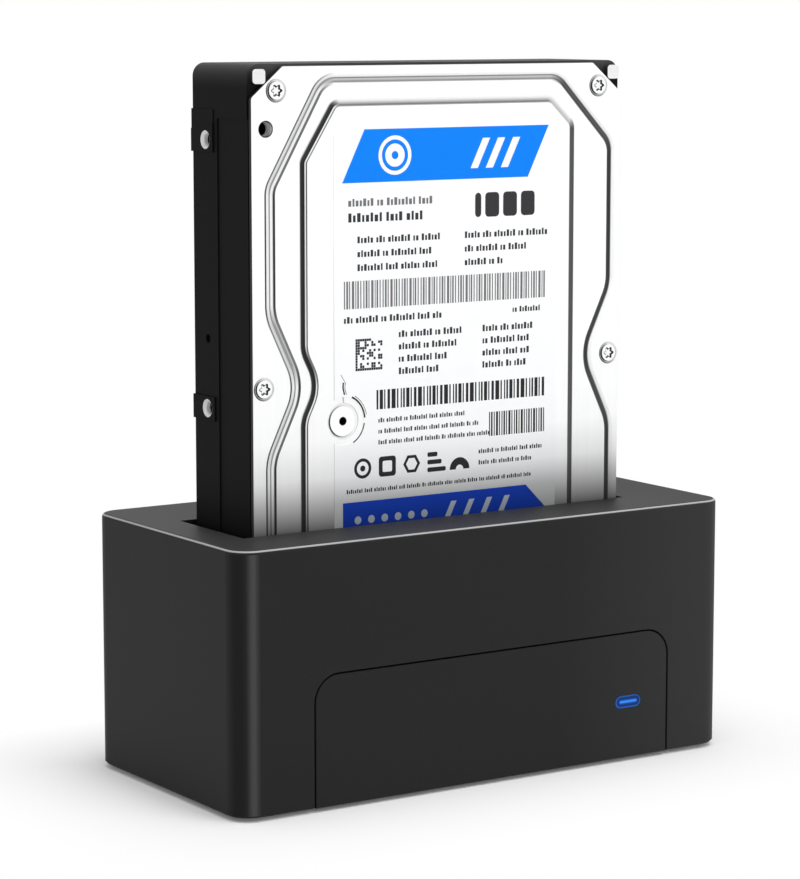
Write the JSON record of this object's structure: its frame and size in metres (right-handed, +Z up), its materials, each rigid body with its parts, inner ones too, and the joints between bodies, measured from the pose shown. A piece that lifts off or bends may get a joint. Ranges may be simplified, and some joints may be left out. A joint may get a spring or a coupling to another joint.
{
  "type": "hard drive docking station",
  "caption": "Upright single-bay desktop dock with a 3.5 inch drive standing in its slot, status light in a flush lower front panel, data and power sockets behind.",
  "frame": {"origin": "on the floor under the middle of the dock", "axes": "+Z up, the dock's front faces -Y, +X to the right seen from the front"},
  "size_m": [0.134, 0.066, 0.1634],
  "materials": {
    "dock_plastic": "fine-grained dark housing plastic",
    "black_plastic": "plain black moulding",
    "light_blue": "clear blue light",
    "board_green": "soldermask over glass board",
    "screw_steel": "plated steel",
    "foot_rubber": "dull black rubber",
    "contact_gold": "gold-plated contact",
    "can_aluminium": "bright turned aluminium",
    "socket_steel": "nickel-plated steel",
    "insert_blue": "blue socket insert",
    "casting_black": "black coated casting",
    "cover_aluminium": "satin pressed sheet",
    "label_white": "printed label film",
    "platter_mirror": "polished disk",
    "coil_copper": "enamelled copper wire"
  },
  "bodies": {
    "dock": {"dock_shell": "dock_plastic", "base_plate": "dock_plastic", "front_panel": "dock_plastic", "light_pipe": "light_blue", "status_led": "light_blue", "led_holder": "black_plastic", "main_board": "board_green", "board_screws": "screw_steel", "base_screws": "screw_steel", "rubber_feet": "foot_rubber", "sata_receptacle": "black_plastic", "sata_contacts": "contact_gold", "bridge_chip": "black_plastic", "chip_leads": "screw_steel", "capacitors": "can_aluminium", "inductor": "black_plastic", "crystal": "can_aluminium", "usb_socket": "socket_steel", "usb_insert": "insert_blue", "dc_jack": "black_plastic", "dc_jack_pin": "contact_gold", "power_switch": "black_plastic"},
    "button": {"power_button": "dock_plastic", "switch_plunger": "black_plastic"},
    "drive": {"drive_casting": "casting_black", "cover_gasket": "foot_rubber", "drive_cover": "cover_aluminium", "cover_screws": "screw_steel", "drive_label": "label_white", "drive_board": "board_green", "drive_chips": "black_plastic", "drive_board_screws": "screw_steel", "drive_plug": "black_plastic", "plug_contacts": "contact_gold", "motor_base": "can_aluminium", "spindle_shaft": "screw_steel", "pivot_post": "screw_steel", "lower_yoke": "socket_steel", "upper_yoke": "socket_steel", "head_ramp": "black_plastic"},
    "platter_stack": {"spindle_hub": "can_aluminium", "platter": "platter_mirror", "platter_clamp": "can_aluminium", "clamp_screws": "screw_steel"},
    "head_arm": {"actuator_arm": "can_aluminium", "voice_coil": "coil_copper"}
  },
  "joints": [
    {"name": "drive_lift", "type": "slide", "parent": "dock", "child": "drive", "axis": [0, 0, 1], "range_m": [0, 0.048]},
    {"name": "power_press", "type": "slide", "parent": "dock", "child": "button", "axis": [0, -1, 0], "range_m": [0, 0.0015], "stiffness_N_per_m": 400, "springref_m": -0.001},
    {"name": "platter_spin", "type": "hinge", "parent": "drive", "child": "platter_stack", "pos_m": [-0.0032, -0.0054, 0.1129], "axis": [0, -1, 0], "continuous": true},
    {"name": "arm_swing", "type": "hinge", "parent": "drive", "child": "head_arm", "pos_m": [0.012, -0.0034, 0.0504], "axis": [0, 1, 0], "range_deg": [0, 32]}
  ]
}
